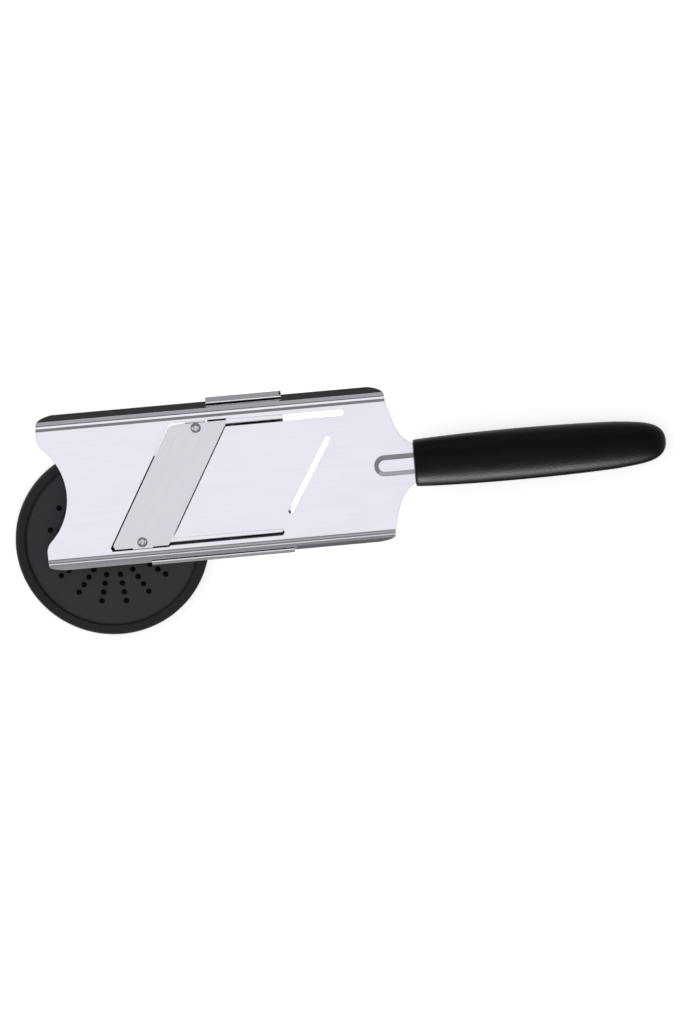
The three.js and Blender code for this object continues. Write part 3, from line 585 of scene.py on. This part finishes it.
capLine = roundCorners([
    (0, 0, 0), (cap["radius"], 0, cap["baseRound"]),
    (cap["radius"] - cap["waist"], cap["top"] / 2, cap["waistRound"]),
    (cap["radius"], cap["top"], cap["lipRound"]), (cap["inner"], cap["top"], cap["innerRound"]),
    (cap["inner"], cap["wall"], cap["innerRound"]),
    (0, cap["wall"], 0),
])
holderCap = turnOnLathe("holder_cap", capLine, cap["steps"])

for piece, nodes, plastic in (
    (holderDish, ["guard_disc"], holderPlastic), (holderPins, [], pinShadePlastic),
    (holderCap, ["guard_grip"], holderPlastic),
):
    layDown(piece, holderLie)
    finishPiece(piece, "guard", nodes, plastic)
print("food holder made")


# Studio: a white sweep, a soft ceiling light, a low side light on the handle alone, and cards that only
# mirror rays see; the cards lying on the floor are painted shade and painted reflection

studio = {
    "floorRadius": 3.2, "wallRadius": 4.2, "wallHeight": 1.5, "sides": 96, "wallSteps": 12, "smooth": 40,
    "floorColour": "f4f4f5", "lift": 0.7, "sky": 0.25,
}
lamps = {
    "ceiling": {"size": (2.4, 2.4), "place": (-0.6, 0.35, 2.05), "power": 9.6, "diffuse": True},
    "low": {
        "size": (1.0, 0.4), "place": (-0.1, -1.9, 1.15), "power": 135, "diffuse": False,
        "onto": (handle,),
    },
}
# Mirror cards round the tool, long in x: side, lowest and highest elevation in degrees, brightness
mirrorRing = {
    "distance": 1.6, "length": 1.2,
    "cards": (
        (1, 0, 12, 0.45), (1, 12, 26, 0.18), (1, 26, 50, 1.1),
        (-1, 24, 44, 0.24), (-1, 44, 68, 0.46), (-1, 8, 24, 0.95), (-1, 0, 8, 0.3),
    ),
}
# Mirror cards that lie level: from corner to corner in metres, height, brightness. Only one over the tool
# faces down. The cards lying on or just over the floor are painted shade and painted reflection: left, right,
# between, front, frontEar and besideHandle are dark and grey sheets that mirror rays see in place of the floor's
# shade beside the tool; floorFar greys the far floor in reflections; overDish, just over the dish, gives a
# painted grey reflection there.
overTool = 1
levelCardsAndFloorShade = {
    "overhead": ((-0.6, -0.27), (0.26, 0.08), 1.9, 1.06),
    "left": ((-0.25, 0.064), (-0.0688, 0.16), 0.0005, 0.045),
    "right": ((-0.0285, 0.064), (0.09, 0.16), 0.0005, 0.045),
    "between": ((-0.0688, 0.064), (-0.0285, 0.16), 0.0005, 0.38),
    "front": ((-0.0262, -0.12), (0.09, -0.026), 0.0005, 0.15),
    "frontEar": ((-0.085, -0.12), (-0.0262, -0.0225), 0.0005, 0.34),
    "overDish": ((-0.17, -0.085), (-0.068, -0.0225), 0.0102, 0.34),
    "besideHandle": ((0.05, -0.14), (0.3, -0.004), 0.0005, 0.02),
    "floorFar": ((-0.4, -1.5), (0.4, -0.12), 0.0005, 0.3),
}


def makeSweep():
    bpy.ops.object.select_all(action="DESELECT")
    bpy.ops.mesh.primitive_circle_add(
        vertices=studio["sides"], radius=studio["floorRadius"], fill_type="NGON")
    sweep = bpy.context.object
    sweep.name = "studio_sweep"
    bpy.ops.object.mode_set(mode="EDIT")
    bpy.ops.mesh.select_all(action="SELECT")
    bpy.ops.mesh.region_to_loop()
    steps = studio["wallSteps"]
    outward = studio["wallRadius"] - studio["floorRadius"]
    radius, height = studio["floorRadius"], 0
    for step in range(1, steps + 1):
        angle = step / steps * math.pi / 2
        nextRadius = studio["floorRadius"] + outward * math.sin(angle)
        nextHeight = studio["wallHeight"] * (1 - math.cos(angle))
        bpy.ops.mesh.extrude_region_move(TRANSFORM_OT_translate={"value": (0, 0, nextHeight - height)})
        bpy.ops.transform.resize(value=(nextRadius / radius, nextRadius / radius, 1))
        radius, height = nextRadius, nextHeight
    bpy.ops.object.mode_set(mode="OBJECT")
    bpy.ops.object.shade_smooth_by_angle(angle=math.radians(studio["smooth"]))
    material = newMaterial("matt_white_paper")
    tree = material.node_tree
    path = addNode(tree, "ShaderNodeLightPath", {})
    seen = addNode(tree, "ShaderNodeMath", {
        0: path.outputs["Is Camera Ray"], 1: path.outputs["Is Glossy Ray"],
    }, operation="MAXIMUM")
    shown = addNode(tree, "ShaderNodeMath", {
        0: seen.outputs[0], 1: path.outputs["Is Transmission Ray"],
    }, operation="MAXIMUM")
    lift = addNode(tree, "ShaderNodeMath", {0: shown.outputs[0], 1: studio["lift"]}, operation="MULTIPLY")
    paper = addNode(tree, "ShaderNodeBsdfDiffuse", {"Color": fromHex(studio["floorColour"])})
    glow = addNode(tree, "ShaderNodeEmission", {"Strength": lift.outputs[0]})
    both = addNode(tree, "ShaderNodeAddShader", {0: paper.outputs[0], 1: glow.outputs[0]})
    addNode(tree, "ShaderNodeOutputMaterial", {"Surface": both.outputs[0]})
    sweep.data.materials.append(material)


def makeLamp(name, lamp):
    data = bpy.data.lights.new(name, "AREA")
    data.shape = "RECTANGLE"
    data.size, data.size_y = lamp["size"]
    data.energy = lamp["power"]
    light = bpy.data.objects.new(name, data)
    light.location = lamp["place"]
    light.rotation_euler = (-Vector(lamp["place"])).to_track_quat("-Z", "Y").to_euler()
    light.visible_camera = False
    light.visible_diffuse = lamp["diffuse"]
    light.visible_glossy = not lamp["diffuse"]
    if "onto" in lamp:
        lit = bpy.data.collections.new(name + "_light")
        for piece in lamp["onto"]:
            lit.objects.link(piece)
        light.light_linking.receiver_collection = lit
    bpy.context.scene.collection.objects.link(light)


# A card that glows only for mirror rays, and only on its face
def makeCard(name, size, place, glow):
    bpy.ops.object.select_all(action="DESELECT")
    bpy.ops.mesh.primitive_plane_add(size=1)
    card = bpy.context.object
    card.name = name
    bpy.ops.object.mode_set(mode="EDIT")
    bpy.ops.transform.resize(value=(*size, 1))
    bpy.ops.object.mode_set(mode="OBJECT")
    layDown(card, place)
    material = newMaterial("card_" + name)
    tree = material.node_tree
    back = addNode(tree, "ShaderNodeNewGeometry", {}).outputs["Backfacing"]
    face = addNode(tree, "ShaderNodeEmission", {"Strength": glow})
    clear = addNode(tree, "ShaderNodeBsdfTransparent", {})
    both = addNode(tree, "ShaderNodeMixShader", {0: back, 1: face.outputs[0], 2: clear.outputs[0]})
    addNode(tree, "ShaderNodeOutputMaterial", {"Surface": both.outputs[0]})
    card.data.materials.append(material)
    card.visible_camera = False
    card.visible_diffuse = False
    card.visible_transmission = False
    card.visible_shadow = False


def makeCards():
    for side, lowest, highest, glow in mirrorRing["cards"]:
        middle, half = math.radians((lowest + highest) / 2), math.radians((highest - lowest) / 2)
        spot = Vector((0, side * math.cos(middle), math.sin(middle))) * mirrorRing["distance"]
        facing = Matrix.Rotation(side * (math.pi / 2 + middle), 4, "X")
        name = f"mirror_{'far' if side > 0 else 'near'}_{lowest}"
        size = (mirrorRing["length"], 2 * mirrorRing["distance"] * math.tan(half))
        makeCard(name, size, Matrix.Translation(spot) @ facing, glow)
    for name, (lowCorner, highCorner, height, glow) in levelCardsAndFloorShade.items():
        size = [high - low for low, high in zip(lowCorner, highCorner)]
        middle = [(low + high) / 2 for low, high in zip(lowCorner, highCorner)]
        facing = Matrix.Rotation(math.pi if height > overTool else 0, 4, "X")
        makeCard(name, size, Matrix.Translation((*middle, height)) @ facing, glow)


def makeWorld():
    world = bpy.data.worlds.new("studio")
    bpy.context.scene.world = world
    world.use_nodes = True
    world.node_tree.nodes.clear()
    sky = addNode(world.node_tree, "ShaderNodeBackground", {"Color": (1, 1, 1, 1), "Strength": studio["sky"]})
    addNode(world.node_tree, "ShaderNodeOutputWorld", {"Surface": sky.outputs[0]})


makeSweep()
for lampName, lamp in lamps.items():
    makeLamp(lampName, lamp)
makeCards()
makeWorld()
bpy.context.scene.view_settings.view_transform = "Standard"


# Camera: almost straight above, leaning a little towards the far side, rolled as in the photograph

shot = {
    "towards": (0.0192, 0.2419, 0.9701), "aim": (160.88, -23.1), "roll": 4.923, "distance": 2.0,
    "imageHeight": 0.556, "sensor": 36, "clip": (0.05, 50),
}


def makeCamera():
    towards = Vector(shot["towards"]).normalized()
    level = Vector((0, 1, 0)).cross(towards).normalized()
    right = Matrix.Rotation(-math.radians(shot["roll"]), 3, towards) @ level
    up = towards.cross(right)
    aim = slicerLie @ Vector((shot["aim"][0] * mm, shot["aim"][1] * mm, 0))
    data = bpy.data.cameras.new("camera")
    data.sensor_width = shot["sensor"]
    data.lens = shot["sensor"] * shot["distance"] / shot["imageHeight"]
    data.clip_start, data.clip_end = shot["clip"]
    camera = bpy.data.objects.new("camera", data)
    turned = Matrix((right, up, towards)).transposed().to_4x4()
    camera.matrix_world = Matrix.Translation(aim + towards * shot["distance"]) @ turned
    bpy.context.scene.collection.objects.link(camera)
    bpy.context.scene.camera = camera


makeCamera()
print("studio and camera set")
